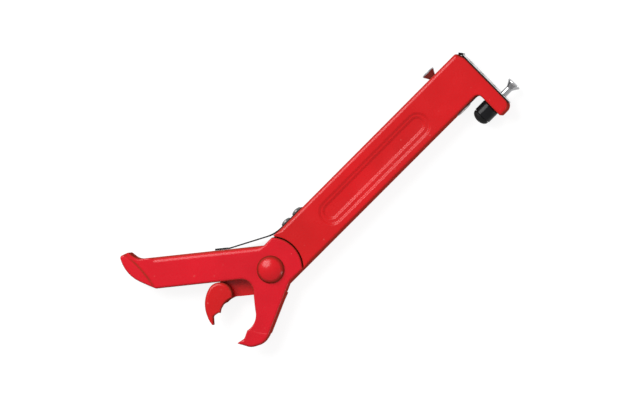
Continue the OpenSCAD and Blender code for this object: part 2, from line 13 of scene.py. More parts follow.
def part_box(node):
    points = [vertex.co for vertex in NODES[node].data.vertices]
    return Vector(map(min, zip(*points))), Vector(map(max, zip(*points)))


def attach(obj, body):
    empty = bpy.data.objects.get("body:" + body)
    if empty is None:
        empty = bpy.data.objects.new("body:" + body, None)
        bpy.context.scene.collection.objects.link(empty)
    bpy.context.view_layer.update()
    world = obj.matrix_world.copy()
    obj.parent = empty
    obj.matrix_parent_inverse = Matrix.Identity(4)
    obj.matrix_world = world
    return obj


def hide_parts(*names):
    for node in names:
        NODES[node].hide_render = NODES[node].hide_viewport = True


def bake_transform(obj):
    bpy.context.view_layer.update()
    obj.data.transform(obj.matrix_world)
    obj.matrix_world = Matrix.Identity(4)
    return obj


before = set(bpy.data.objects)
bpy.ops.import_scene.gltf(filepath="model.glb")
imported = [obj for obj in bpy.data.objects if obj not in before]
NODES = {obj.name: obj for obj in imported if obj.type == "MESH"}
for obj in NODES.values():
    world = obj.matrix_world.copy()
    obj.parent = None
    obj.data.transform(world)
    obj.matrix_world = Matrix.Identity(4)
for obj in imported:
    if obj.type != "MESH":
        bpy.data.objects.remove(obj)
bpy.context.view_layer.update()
MM = 0.001


def box_mm(node):
    """A CAD node's lowest and highest corner at rest."""
    low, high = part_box(node)
    return np.array(low) / MM, np.array(high) / MM


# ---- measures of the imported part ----
THICK = round(box_mm("handle")[1][2], 3)
MID = THICK / 2
HALF_W = 20.0                      # half the handle bar's width
HANDLE_END = round(box_mm("handle")[1][0], 3)
TONGUE = round(box_mm("thrust_washer")[0][2], 3)
HALF_Z = THICK - TONGUE
ARM_A = math.radians(141.5)        # direction of the lever's arm from the rivet
CAST_R = 3.0                       # fillet of the castings' outer edges


def on_arm(u, w):
    """A point given along the lever arm (u) and across it towards the claws (w)."""
    c, s = math.cos(ARM_A), math.sin(ARM_A)
    return np.array([u * c - w * s, u * s + w * c])


def to_arm(xy):
    """The inverse of on_arm, for one point or many."""
    c, s = math.cos(ARM_A), math.sin(ARM_A)
    xy = np.asarray(xy)
    return np.stack([xy[..., 0] * c + xy[..., 1] * s, -xy[..., 0] * s + xy[..., 1] * c], -1)


# ---- meshes ----
WELD = 1e-3                        # points closer than this become one


def new_object(name, verts, faces):
    """A mesh object from points in millimetres, welded, with outward normals."""
    bm = bmesh.new()
    vs = [bm.verts.new(Vector(v) * MM) for v in verts]
    for f in faces:
        try:
            bm.faces.new([vs[i] for i in f])
        except ValueError:
            pass
    bmesh.ops.remove_doubles(bm, verts=bm.verts, dist=WELD * MM)
    bmesh.ops.dissolve_degenerate(bm, edges=bm.edges, dist=WELD * MM * 0.5)
    loose = [v for v in bm.verts if not v.link_faces]
    bmesh.ops.delete(bm, geom=loose, context="VERTS")
    bmesh.ops.recalc_face_normals(bm, faces=bm.faces)
    mesh = bpy.data.meshes.new(name)
    bm.to_mesh(mesh)
    bm.free()
    obj = bpy.data.objects.new(name, mesh)
    bpy.context.scene.collection.objects.link(obj)
    return obj


def smooth(obj, angle=32.0):
    """Smooth shading, with sharp edges where faces meet at more than the angle."""
    bm = bmesh.new()
    bm.from_mesh(obj.data)
    for f in bm.faces:
        f.smooth = True
    limit = math.radians(angle)
    for e in bm.edges:
        e.smooth = len(e.link_faces) == 2 and e.calc_face_angle(math.pi) < limit
    bm.to_mesh(obj.data)
    bm.free()


def slice_loops(node, z):
    """The closed outlines that a level plane cuts from a CAD node, largest first."""
    bm = bmesh.new()
    bm.from_mesh(NODES[node].data)
    bmesh.ops.remove_doubles(bm, verts=bm.verts, dist=1e-6)
    bmesh.ops.bisect_plane(bm, geom=bm.verts[:] + bm.edges[:] + bm.faces[:], dist=1e-9,
                           plane_co=(0, 0, z * MM), plane_no=(0, 0, 1),
                           clear_inner=True, clear_outer=True)
    loops, seen = [], set()
    for start in bm.verts:
        if start in seen or len(start.link_edges) != 2:
            continue
        loop, v, came = [], start, None
        while v not in seen:
            seen.add(v)
            loop.append((v.co.x / MM, v.co.y / MM))
            step = [e for e in v.link_edges if e is not came]
            came = step[0]
            v = came.other_vert(v)
        loops.append(np.array(loop))
    bm.free()
    loops = [tidy(p) for p in loops if len(p) > 3]
    return sorted(loops, key=lambda p: -abs(area(p)))


def area(p):
    """Signed area of a closed outline, positive when it runs counter-clockwise."""
    q = np.roll(p, -1, 0)
    return 0.5 * float(np.sum(p[:, 0] * q[:, 1] - q[:, 0] * p[:, 1]))


def tidy(p):
    """Counter-clockwise, without double points and points on a straight run."""
    if area(p) < 0:
        p = p[::-1]
    p = p[np.linalg.norm(p - np.roll(p, 1, 0), axis=1) > 5e-3]
    a, b = np.roll(p, 1, 0), np.roll(p, -1, 0)
    u = (p - a) / np.linalg.norm(p - a, axis=1)[:, None]
    w = (b - p) / np.linalg.norm(b - p, axis=1)[:, None]
    return p[np.abs(u[:, 0] * w[:, 1] - u[:, 1] * w[:, 0]) > 2e-3]


def resample(p, step):
    """The closed outline with points at most a step apart."""
    out = []
    for a, b in zip(p, np.roll(p, -1, 0)):
        n = max(1, math.ceil(np.linalg.norm(b - a) / step))
        out += [a + (b - a) * k / n for k in range(n)]
    return np.array(out)


def distance(q, p):
    """Distance of each point of q to the closed outline p."""
    a = p[None]
    d = (np.roll(p, -1, 0) - p)[None]
    t = np.clip(((q[:, None] - a) * d).sum(-1) / (d * d).sum(-1), 0, 1)
    return np.linalg.norm(q[:, None] - a - t[..., None] * d, axis=-1).min(1)


def inside(q, loops):
    """Even-odd test of points against closed outlines."""
    hit = np.zeros(len(q), bool)
    for p in loops:
        a, b = p[None], np.roll(p, -1, 0)[None]
        y = q[:, None, 1]
        cross = (a[..., 1] > y) != (b[..., 1] > y)
        slope = np.where(cross, b[..., 1] - a[..., 1], 1)
        x = a[..., 0] + (y - a[..., 1]) * (b[..., 0] - a[..., 0]) / slope
        hit ^= (np.sum(cross & (q[:, None, 0] < x), axis=1) % 2).astype(bool)
    return hit


def inward(p):
    """Inward normals of a counter-clockwise outline, the mitre's stretch and each point's turn."""
    u = np.roll(p, -1, 0) - p
    u /= np.linalg.norm(u, axis=1)[:, None]
    n = np.stack([-u[:, 1], u[:, 0]], 1)
    before = np.roll(n, 1, 0)
    m = n + before
    m /= np.linalg.norm(m, axis=1)[:, None]
    turn = np.arctan2(before[:, 0] * n[:, 1] - before[:, 1] * n[:, 0], (before * n).sum(1))
    return m, 1 / np.clip((m * n).sum(1), 0.45, 1), turn


def room(p, n):
    """How far the inward normal at each point runs before it meets the outline again."""
    a = p[None]
    d = (np.roll(p, -1, 0) - p)[None]
    start = (p + n * 1e-3)[:, None]
    det = n[:, None, 0] * -d[..., 1] + n[:, None, 1] * d[..., 0]
    det = np.where(np.abs(det) < 1e-9, 1e-9, det)
    r = a - start
    t = (r[..., 0] * -d[..., 1] + r[..., 1] * d[..., 0]) / det
    s = (n[:, None, 0] * r[..., 1] - n[:, None, 1] * r[..., 0]) / det
    ok = (t > 0.01) & (s >= -1e-6) & (s <= 1 + 1e-6)
    return np.where(ok, t, 1e3).min(1)


FAN = 0.2                          # radians between the points round an inner corner
ROOM_SHARE = 0.42                  # largest fillet, as a share of the form's width there
SUPPORT = 0.3                      # a ring this far inside the fillet keeps the face flat


def level_points(p, n, stretch, turn, inset):
    """Points at the given inset from the outline, with the index of the point they belong to."""
    q = [p + n * (stretch * inset)[:, None]]
    who = [np.arange(len(p))]
    for i in np.where(turn < -FAN)[0]:
        fan = max(2, int(-turn[i] / FAN))
        mid = math.atan2(n[i, 1], n[i, 0])
        a = mid + np.linspace(-turn[i] / 2, turn[i] / 2, fan + 1)
        q.append(p[i] + inset[i] * np.stack([np.cos(a), np.sin(a)], 1))
        who.append(np.full(fan + 1, i))
    q, who = np.vstack(q), np.concatenate(who)
    good = inside(q, [p]) & (distance(q, p) >= inset[who] * 0.985 - 1e-4)
    return q[good], who[good]


def cap(points, loops, extra):
    """Triangles between closed outlines, through the extra points. Returns points and faces."""
    every = np.vstack([points, extra]) if len(extra) else points
    flat = [Vector(v) for v in every]
    edges = [pair for loop in loops for pair in zip(loop, loop[1:] + loop[:1])]
    vs, _, fs, origin, _, _ = delaunay_2d_cdt(flat, edges, [], 1, 1e-6)
    vs, fs = np.array([tuple(v) for v in vs]), np.array(fs)
    if len(loops) > 1:
        holes = [np.asarray(points)[loop] for loop in loops[1:]]
        fs = fs[~inside(vs[fs].mean(1), holes)]
    return vs, fs, origin


ARC = [math.pi / 2 * k / 7 for k in range(8)]      # angles of a fillet's rings


def face_side(p, rule, z, sign, lift, hole, extra):
    """One flat side of a slab with a rounded edge: points, faces, and the wall height at p."""
    n, stretch, turn = inward(p)
    r = np.minimum(rule(p), room(p, n) * ROOM_SHARE)
    r = np.minimum.reduce([np.roll(r, k) for k in range(-2, 3)])
    r = np.mean([np.roll(r, k) for k in range(-2, 3)], 0)
    pts, drop, loops = [p], [r], [list(range(len(p)))]
    if hole is not None:
        loops.append(list(range(len(p), len(p) + len(hole))))
        pts.append(hole)
        drop.append(np.zeros(len(hole)))
    if r.max() > 0:
        for a in ARC[1:]:
            q, who = level_points(p, n, stretch, turn, r * (1 - math.cos(a)))
            pts.append(q)
            drop.append(r[who] * (1 - math.sin(a)))
        q, who = level_points(p, n, stretch, turn, r + SUPPORT)
        pts.append(q)
        drop.append(np.zeros(len(q)))
    if len(extra):
        pts.append(extra)
        drop.append(np.zeros(len(extra)))
    fixed = sum(len(loop) for loop in loops)
    every, drop = np.vstack(pts), np.concatenate(drop)
    vs, fs, source = cap(every[:fixed], loops, every[fixed:])
    up = lift(vs) if lift else 0
    place = {i: k for k, o in enumerate(source) for i in o}
    down = drop[[min(o) for o in source]]
    return np.c_[vs, z + up - sign * down], fs, [place[i] for i in range(len(p))]


WALL_ROWS = (0.08, 0.92)           # heights of a wall's support rows, as shares


def slab(outline, z0, z1, r_top, r_bottom, step=1.0, lift=None, pocket=(), extra=()):
    """Points and faces of an upright prism with rounded top and bottom edges.

    r_top and r_bottom give the fillet radius for an array of points. lift raises the top at
    each point. pocket is a list of (outline, z) that goes down from a hole in the top."""
    p = resample(outline, step)
    hole = pocket[0][0] if pocket else None
    verts, faces, edge = [], [], []
    for rule, z, sign in ((r_bottom, z0, -1), (r_top, z1, 1)):
        vs, fs, rim = face_side(p, rule, z, sign, lift if sign > 0 else None,
                                hole if sign > 0 else None, extra if sign > 0 else ())
        base = len(verts)
        edge.append([base + k for k in rim])
        verts.extend(vs)
        faces.extend([tuple(base + i for i in f) for f in fs])
    m = len(p)
    rows = [edge[0]]
    for t in WALL_ROWS:
        rows.append(list(range(len(verts), len(verts) + m)))
        for a, b in zip(edge[0], edge[1]):
            verts.append(np.asarray(verts[a]) * (1 - t) + np.asarray(verts[b]) * t)
    rows.append(edge[1])
    for low, high in zip(rows, rows[1:]):
        for i in range(m):
            j = (i + 1) % m
            faces.append((low[i], low[j], high[j], high[i]))
    if pocket:
        base = len(verts)
        c = len(hole)
        for loop, z in pocket:
            verts.extend(np.c_[loop, np.full(c, z)])
        for k in range(len(pocket) - 1):
            for i in range(c):
                j = (i + 1) % c
                faces.append((base + k * c + i, base + (k + 1) * c + i,
                              base + (k + 1) * c + j, base + k * c + j))
        faces.append([base + (len(pocket) - 1) * c + i for i in range(c)])
    return verts, faces


def lathe(rows, origin, axis, steps=72):
    """Points and faces of a turned shape: rows of (radius, height) from one end to the other."""
    axis = Vector(axis).normalized()
    side = axis.orthogonal().normalized()
    other = axis.cross(side)
    verts, faces = [], []
    for r, h in rows:
        for k in range(steps):
            a = 2 * math.pi * k / steps
            v = Vector(origin) + axis * h + (side * math.cos(a) + other * math.sin(a)) * max(r, 0)
            verts.append(v)
    for k in range(len(rows) - 1):
        for i in range(steps):
            j = (i + 1) % steps
            faces.append((k * steps + i, k * steps + j, (k + 1) * steps + j, (k + 1) * steps + i))
    for k, r in ((0, rows[0][0]), (len(rows) - 1, rows[-1][0])):
        if r > 1e-6:
            faces.append([k * steps + i for i in range(steps)])
    return verts, faces


def boolean(target, tool, operation):
    """Applies one boolean and removes the tool."""
    mod = target.modifiers.new("b", "BOOLEAN")
    mod.object = tool
    mod.operation = operation
    mod.solver = "MANIFOLD"
    bpy.context.view_layer.update()
    made = bpy.data.meshes.new_from_object(
        target.evaluated_get(bpy.context.evaluated_depsgraph_get()))
    target.modifiers.clear()
    old = target.data
    target.data = made
    bpy.data.meshes.remove(old)
    mesh = tool.data
    bpy.data.objects.remove(tool)
    bpy.data.meshes.remove(mesh)


def cut_round(target, origin, axis, profile):
    """Cuts a turned shape out of the target."""
    boolean(target, new_object("cutter", *lathe(profile, origin, axis, 64)), "DIFFERENCE")


def add_slab(target, *form, **more):
    """Joins a slab to the target."""
    boolean(target, new_object("slab", *slab(*form, **more)), "UNION")


def prism(points, corner):
    """A closed prism between two copies of an outline; corner(point, end) places each point."""
    n = len(points)
    verts = [corner(p, end) for end in (0, 1) for p in points]
    faces = [tuple(range(n)), tuple(range(2 * n - 1, n - 1, -1))]
    faces += [(i, (i + 1) % n, (i + 1) % n + n, i + n) for i in range(n)]
    return new_object("prism", verts, faces)


def even(r):
    """A rule that gives every point the same radius."""
    return lambda q: np.full(len(q), float(r))


# ---- materials ----
MIX_UNDER, MIX_OVER, MIX_RESULT = 6, 7, 2    # the Mix node's colour sockets
CLOUD_FROM, CLOUD_TO = 0.3, 0.7    # noise levels between which a cloud fades in
NICK_SCALE = 230.0
NICK_FROM, NICK_TO = 0.75, 0.79    # noise levels between which a nick fades in
NICK_STRENGTH = 0.35
# painted shade: upright walls get a darker colour and lose their shine, by how upright they are
WALL, FACE = 0.55, 0.90            # |normal.z| up to which it is all wall, and from which all face


def node_tools(name):
    """A new material, its node tree and shader, and a function that adds a node to it."""
    mat = bpy.data.materials.new(name)
    mat.use_nodes = True
    tree = mat.node_tree
    bsdf = tree.nodes["Principled BSDF"]

    def add(kind, links=None, **values):
        node = tree.nodes.new(kind)
        for key, value in values.items():
            if key.startswith("in_"):
                node.inputs[key[3:].replace("_", " ")].default_value = value
            else:
                setattr(node, key, value)
        for key, socket in (links or {}).items():
            tree.links.new(socket, node.inputs[key])
        return node

    return mat, tree, bsdf, add


def finish(name, color, rough, metallic=0.0, shade=0.08, shade_scale=30.0, grain=700.0,
           grain_depth=0.02, wave=0.0, wave_scale=90.0, rough_spread=0.06, tint=None,
           specular=0.5, streak=None, nicks=None, sides=None):
    """A procedural finish: cloudy colour, uneven roughness, fine grain and slow waves.

    tint scales the clouds' darker colour and streak stretches the pattern. nicks is the colour
    of small chips in the paint. The last argument is painted shade: a darker colour laid on
    upright walls, which are also made matt."""
    mat, tree, bsdf, add = node_tools(name)

    def noise(scale, detail, **more):
        return add("ShaderNodeTexNoise", {"Vector": where}, in_Scale=scale, in_Detail=detail,
                   **more).outputs["Fac"]

    def mixed(amount, under, over):
        mix = add("ShaderNodeMix", {"Factor": amount, MIX_UNDER: under}, data_type="RGBA")
        mix.inputs[MIX_OVER].default_value = (*over, 1)
        return mix.outputs[MIX_RESULT]

    coords = add("ShaderNodeTexCoord")
    where = coords.outputs["Object"]
    if streak:
        where = add("ShaderNodeMapping", {"Vector": where}, in_Scale=streak).outputs["Vector"]
    low = [c * (1 - shade) for c in color]
    high = [min(1, c * (1 + shade)) for c in color]
    if tint:
        low = [a * b for a, b in zip(low, tint)]
    ramp = add("ShaderNodeValToRGB", {"Fac": noise(shade_scale, 3.0, in_Roughness=0.55)})
    for element, place, level in zip(ramp.color_ramp.elements, (CLOUD_FROM, CLOUD_TO),
                                     (low, high)):
        element.position = place
        element.color = (*level, 1)
    colour = ramp.outputs["Color"]
    if nicks:
        amount = add("ShaderNodeMapRange", {"Value": noise(NICK_SCALE, 1.0)},
                     in_From_Min=NICK_FROM, in_From_Max=NICK_TO, in_To_Min=0.0,
                     in_To_Max=NICK_STRENGTH).outputs["Result"]
        colour = mixed(amount, colour, nicks)
    # painted shade: the more upright a surface, the darker its colour and the less its shine
    if sides:
        facing = add("ShaderNodeSeparateXYZ", {"Vector": coords.outputs["Normal"]}).outputs["Z"]
        facing = add("ShaderNodeMath", {0: facing}, operation="ABSOLUTE").outputs[0]
        amount = add("ShaderNodeMapRange", {"Value": facing}, interpolation_type="SMOOTHSTEP",
                     in_From_Min=WALL, in_From_Max=FACE, in_To_Min=1.0,
                     in_To_Max=0.0).outputs["Result"]
        colour = mixed(amount, colour, sides)
        shine = add("ShaderNodeMapRange", {"Value": amount}, in_To_Min=specular, in_To_Max=0.0)
        tree.links.new(shine.outputs["Result"], bsdf.inputs["Specular IOR Level"])
    tree.links.new(colour, bsdf.inputs["Base Color"])
    spread = add("ShaderNodeMapRange", {"Value": noise(shade_scale * 4, 4.0)},
                 in_From_Min=CLOUD_FROM, in_From_Max=CLOUD_TO,
                 in_To_Min=max(rough - rough_spread, 0.02), in_To_Max=rough + rough_spread)
    tree.links.new(spread.outputs["Result"], bsdf.inputs["Roughness"])
    bump = add("ShaderNodeBump", {"Height": noise(grain, 2.0)}, in_Strength=1.0,
               in_Distance=grain_depth * MM)
    if wave:
        bump = add("ShaderNodeBump", {"Height": noise(wave_scale, 1.5),
                                      "Normal": bump.outputs["Normal"]},
                   in_Strength=1.0, in_Distance=wave * MM)
    tree.links.new(bump.outputs["Normal"], bsdf.inputs["Normal"])
    bsdf.inputs["Metallic"].default_value = metallic
    bsdf.inputs["Specular IOR Level"].default_value = specular
    return mat


# the enamel's upright walls take a darker red-brown as painted shade
ENAMEL = dict(shade=0.06, shade_scale=14.0, grain=900.0, grain_depth=0.008, wave=0.05,
              tint=(0.93, 1.5, 0.95), specular=0.24, rough_spread=0.05,
              nicks=(0.72, 0.16, 0.14), sides=(0.40, 0.034, 0.022))
RED = finish("red_enamel", (0.58, 0.003, 0.006), 0.26, **ENAMEL)
RED_LEVER = finish("red_enamel_lever", (0.63, 0.002, 0.013), 0.26, **ENAMEL)
# the rivet's steep rim takes a still darker painted shade, so that it reads as a dark ring
RED_RIVET = finish("red_enamel_rivet", (0.63, 0.003, 0.010), 0.26,
                   **{**ENAMEL, "sides": (0.19, 0.020, 0.010)})
FOOT = finish("dark_enamel", (0.10, 0.014, 0.010), 0.3, shade=0.2, grain_depth=0.008,
              specular=0.3)
BLACK = finish("black_gloss", (0.006, 0.006, 0.007), 0.2, shade=0.3, grain_depth=0.006,
               specular=0.15)
OXIDE = finish("black_oxide", (0.02, 0.02, 0.022), 0.38, metallic=0.4, shade=0.25,
               grain_depth=0.01)
SPRING = finish("blued_spring", (0.008, 0.008, 0.009), 0.45, shade=0.25, streak=(1, 1, 9),
                grain_depth=0.008, specular=0.15)
ZINC = finish("zinc_plate", (0.17, 0.165, 0.16), 0.22, metallic=1.0, shade=0.12,
              grain_depth=0.006)
WIRE = finish("drawn_wire", (0.45, 0.45, 0.46), 0.3, metallic=1.0, shade=0.12)
CHROME = finish("chrome", (0.37, 0.37, 0.38), 0.16, metallic=0.95, shade=0.03,
                grain_depth=0.002, rough_spread=0.03)
# ground steel whose near-white, mostly diffuse colour is a painted reflection of bright
# surroundings
STEEL_PAINTED_REFLECTION = finish("ground_steel_painted_reflection", (0.92, 0.92, 0.92), 0.3, metallic=0.15, shade=0.04,
                grain_depth=0.004, streak=(1, 1, 6))
RUBBER = finish("black_rubber", (0.008, 0.008, 0.008), 0.6, shade=0.25, grain=1500.0,
                specular=0.12)
BRONZE = finish("bronze", (0.5, 0.29, 0.12), 0.34, metallic=1.0, shade=0.15)


def paint(obj, mat):
    """Makes a finish the object's only one."""
    obj.data.materials.clear()
    obj.data.materials.append(mat)


def dress(obj, mat, node, angle=32.0):
    """Gives a built piece its finish and smooth shading, and hides the CAD node it stands for."""
    paint(obj, mat)
    smooth(obj, angle)
    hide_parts(node)


paint(NODES["thrust_washer"], BRONZE)
paint(NODES["press_clip"], WIRE)


# ---- the return springs ----
def return_spring(name, node, axis, fixed):
    """A copy of a coil with the wire finish, in place of its CAD node.

    Its two ends along the axis are found, the fixed one first, but not used.
    """
    obj = bpy.data.objects.new(name, NODES[node].data.copy())
    bpy.context.scene.collection.objects.link(obj)
    dress(obj, WIRE, node, 50)
    low, high = (np.array(corner) * MM for corner in box_mm(node))
    start, end = (low + high) / 2, (low + high) / 2
    start[axis], end[axis] = (low[axis], high[axis]) if fixed == "low" else (high[axis], low[axis])
    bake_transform(obj)


return_spring("press_coil", "press_spring", 0, "low")
return_spring("lock_coil", "lock_spring", 1, "high")

# ---- the handle casting ----
RECESS_ENDS = (76.25, 186.75)      # centres of the recess's round ends, along the bar
OUTER_R, INNER_R = 11.75, 7.2      # half-widths of the recess and of its inner step
OUTER_Y, INNER_Y = -2.1, -1.0      # middle lines of the two
STEP_DROP = 1.3                    # depth of each step
FRONT_CUT = THICK - 1.5            # height at which the front outlines are taken
CLAW_Z = 13.0                      # back of the fixed claw's blade
JAW_U, JAW_W = 34.6, 37.6          # centre of the jaw, along the arm and across it
JAW = on_arm(JAW_U, JAW_W)
JAW_NEAR = 22                      # edges this near the jaw's centre are sharper
EASE_R, EASE_DEPTH = 16.5, 2.2     # the ease cut's radius at its ends, and what it gains between
PIN_R = 3.28                       # bores that guide the two plungers
COIL_R = 6                         # bore for the press plunger's coil
FOOT_R = 8.13                      # bore for the lock plunger's foot
RIVET_R = 7                        # the rivet's shank


def stadium(rho, y):
    """The recess outline at a given half-width and middle line, always with the same points."""
    x0, x1 = RECESS_ENDS
    a = np.linspace(-math.pi / 2, math.pi / 2, 25)
    right = np.stack([x1 + rho * np.cos(a), y + rho * np.sin(a)], 1)
    left = np.stack([x0 - rho * np.cos(a), y - rho * np.sin(a)], 1)
    run = np.linspace(x1, x0, 42)[1:-1]
    top = np.stack([run, np.full(len(run), y + rho)], 1)
    return np.vstack([right, top, left, np.stack([run[::-1], np.full(len(run), y - rho)], 1)])


def step_down(rho, y, z, out, into):
    """One step of the recess: a sloped wall with soft ends, from out beyond the outline."""
    t = np.array([0, 0.06, 0.12, 0.2, 0.5, 0.8, 0.88, 0.94, 1])
    fall = np.array([0, 0.012, 0.048, 0.13, 0.5, 0.87, 0.952, 0.988, 1])
    reach = rho + out - (out + into) * t
    return [(stadium(r, y), level) for r, level in zip(reach, z - STEP_DROP * fall)]


def left_loop(node, z):
    """The outline at height z that lies left of the rivet."""
    return [p for p in slice_loops(node, z) if p[:, 0].max() < 0][0]


def near_jaw(q):
    return np.linalg.norm(q - JAW, axis=1) < JAW_NEAR


def handle_r(q):
    """Fillet of the bar's front: fuller along the top edge, small at the hub and the end."""
    r = np.where(q[:, 1] > 5, 4.0, 2.2)
    r[np.linalg.norm(q, axis=1) < 31.5] = 1.0
    r[q[:, 0] > HANDLE_END - 0.5] = 1.6
    return r


def claw_r(q):
    return np.where(near_jaw(q), 1.3, CAST_R)


def back_r(q):
    r = np.where(near_jaw(q), 1.1, CAST_R)
    r[q[:, 0] > HANDLE_END - 0.5] = 1.6
    return r


def ease_cut():
    """A sector round the jaw, a little wider than it, that sets the knuckle back."""
    points = [JAW]
    for a in np.linspace(-48, 75, 32):
        r = EASE_R + EASE_DEPTH * np.interp(a, (-48, -34, 60, 75), (0, 1, 1, 0))
        turn = math.radians(a)
        points.append(on_arm(JAW_U + r * math.cos(turn), JAW_W + r * math.sin(turn)))
    return prism(points, lambda p, end: (*p, (-1, CLAW_Z + 6)[end]))


pocket = step_down(OUTER_R, OUTER_Y, THICK, 0.6, 2.1)
pocket += step_down(INNER_R, INNER_Y, THICK - STEP_DROP, 0.7, 2.0)
bar = slice_loops("handle", FRONT_CUT)[0]
claw = left_loop("handle", FRONT_CUT)
knuckle = left_loop("handle", TONGUE + 1.2)
back = slice_loops("handle", 2.4)[0]
press_low, press_high = box_mm("press_pin")
lock_low, lock_high = box_mm("lock_pin")
PRESS_Y = press_low[1] / 2 + press_high[1] / 2
LOCK_X = lock_low[0] / 2 + lock_high[0] / 2
ARM_FACE = round(box_mm("press_collar")[1][0] + 0.2, 3)    # inner face of the hook arm

casting = new_object("casting_handle", *slab(back, 0, TONGUE, even(0), back_r))
add_slab(casting, bar, TONGUE - 2, THICK, handle_r, even(0), pocket=pocket)
add_slab(casting, knuckle, TONGUE - 2, CLAW_Z + 4, even(0), even(0))
boolean(casting, ease_cut(), "DIFFERENCE")
add_slab(casting, claw, CLAW_Z, THICK, claw_r, even(CAST_R), step=0.7)
cut_round(casting, (ARM_FACE - 1, PRESS_Y, MID), (1, 0, 0), [(PIN_R, 0), (PIN_R, 8)])
cut_round(casting, (ARM_FACE + 3, PRESS_Y, MID), (1, 0, 0), [(COIL_R, 0), (COIL_R, 14)])
cut_round(casting, (LOCK_X, HALF_W + 1, MID), (0, -1, 0), [(PIN_R, 0), (PIN_R, 30)])
cut_round(casting, (LOCK_X, -3, MID), (0, -1, 0), [(FOOT_R, 0), (FOOT_R, 20)])
cut_round(casting, (0, 0, -1), (0, 0, 1), [(10, 0), (10, 1), (RIVET_R, 4), (RIVET_R, 14)])
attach(casting, "handle")
dress(casting, RED, "handle")

# ---- the lever casting ----
LIP_R = 97.0                       # the raised lip's foot is an arc of this radius
LIP_RHO = np.array([95.6, 96.3, 96.8, 97.2, 97.7, 98.2, 98.8, 99.6, 101.2])
LIP_Z = np.array([3.0, 2.93, 2.72, 2.2, 1.5, 0.85, 0.36, 0.09, 0.0])
LIP_MIDDLE = on_arm(116.2, -8.05)
LIP_A = ARM_A + math.radians(33)
LIP_CENTRE = LIP_MIDDLE + LIP_R * np.array([math.cos(LIP_A), math.sin(LIP_A)])
CREASE = 58.0                      # the moving claw is a thinner blade beyond this radius
CREASE_R = np.array([57.6, 58.0, 58.6, 59.4])      # a low step across the moving claw
CREASE_Z = np.array([0.0, 0.05, 0.28, 0.35])


def lip(q):
    """Rise of the lever's front: the raised lip of the hook, and the low step at the claw."""
    q = np.asarray(q)
    rise = np.interp(np.linalg.norm(q - LIP_CENTRE, axis=1), LIP_RHO, LIP_Z)
    step = np.interp(np.linalg.norm(q, axis=1), CREASE_R, CREASE_Z)
    return rise + np.where(to_arm(q)[:, 1] > 30, step, 0)


def lever_r(q):
    """Fillet of the lever's front: full on the leaf spring's side, small at jaw, hook and hub."""
    uw = to_arm(q)
    r = np.full(len(q), 2.4)
    r[(uw[:, 1] < -8) & (uw[:, 0] > 5)] = 5.2
    r[near_jaw(q)] = 1.2
    r[(uw[:, 0] > 110) & (uw[:, 1] < 3)] = 1.7
    r[(np.linalg.norm(q, axis=1) < 29.5) & (q[:, 0] > 15)] = 1.8
    return r


def blade_r(q):
    """Fillet of the moving claw's thin blade, at its back."""
    beyond = (np.linalg.norm(q, axis=1) > CREASE + 1) & (to_arm(q)[:, 1] > 20)
    return np.where(beyond, np.where(near_jaw(q), 1.2, 2.6), 0)


def deep_back_r(q):
    return np.where(near_jaw(q), 1.2, 3.4)


def form_points(form):
    """Points along the lip's and the crease's slopes, so that the front can bend there."""
    toward = math.atan2(*(LIP_MIDDLE - LIP_CENTRE)[::-1])
    arcs = []
    for rho in np.r_[LIP_RHO, 94.8, 102.0]:
        for a in np.arange(-0.3, 0.3, 1.2 / LIP_R):
            arcs.append(LIP_CENTRE + rho * np.array([math.cos(toward + a), math.sin(toward + a)]))
    for rho in CREASE_R:
        for a in np.arange(math.radians(45), math.radians(100), 1.0 / rho):
            arcs.append(on_arm(rho * math.cos(a), rho * math.sin(a)))
    arcs = np.array(arcs)
    arcs = arcs[inside(arcs, [form])]
    return arcs[distance(arcs, form) > 3.6]


front = slice_loops("lever", THICK - 5)[0]
arm = slice_loops("lever", 2)[0]
deep = [p for p in slice_loops("lever", 6) if to_arm(p)[:, 1].mean() > 20][0]
lever = new_object("casting_lever", *slab(front, HALF_Z, THICK, lever_r, blade_r, step=0.8,
                                          lift=lip, extra=form_points(front)))
add_slab(lever, arm, 0, HALF_Z + 3, even(0), even(CAST_R))
add_slab(lever, deep, 4, HALF_Z + 3, even(0), deep_back_r)
cut_round(lever, (0, 0, 5), (0, 0, 1), [(RIVET_R + 0.05, 0), (RIVET_R + 0.05, 30)])
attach(lever, "lever")
dress(lever, RED_LEVER, "lever")


# ---- turned pieces ----
def turned(name, rows, origin, axis, body, mat, node, steps=72):
    """A lathed piece that rides on a body and stands for a CAD node."""
    obj = new_object(name, *lathe(rows, origin, axis, steps))
    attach(obj, body)
    dress(obj, mat, node, 40)


def arc(cr, ch, r, a0, a1, n=6):
    """Rows along an arc in the (radius, height) plane, in degrees."""
    return [(cr + r * math.cos(math.radians(a)), ch + r * math.sin(math.radians(a)))
            for a in np.linspace(a0, a1, n)]


# the rivet: a flush tail, the shank, and a shallow dome inside a steep rim
DOME_R = 19.0
HEAD_Z = THICK + 0.05              # underside of the rivet's head
dome_top = box_mm("pivot_rivet")[1][2]
tail = [(0, 0.0), (2.2, 0.0), (2.8, 0.12), (9.7, 0.12), (9.85, 0.2), (9.85, 0.3),
        (RIVET_R, 3.0), (RIVET_R - 0.01, THICK)]
rim = [(RIVET_R - 0.01, HEAD_Z), (12.3, HEAD_Z), (12.65, HEAD_Z + 0.25), (12.6, HEAD_Z + 0.6),
       (12.35, HEAD_Z + 0.95), (12.0, HEAD_Z + 1.5), (11.3, HEAD_Z + 2.3), (10.5, HEAD_Z + 3.1)]
dome = [(r, dome_top - DOME_R + math.sqrt(DOME_R ** 2 - r ** 2))
        for r in (9.6, 9.2, 8.6, 7.8, 6.9, 5.9, 4.8, 3.6, 2.4, 1.2, 0)]
turned("rivet", tail + rim + dome, (0, 0, 0), (0, 0, 1), "handle", RED_RIVET, "pivot_rivet",
       96)

PULL = 6.6                         # length of a plunger's flared head
PULL_R = 6.65                      # its radius
SHAFT_R = 3.2


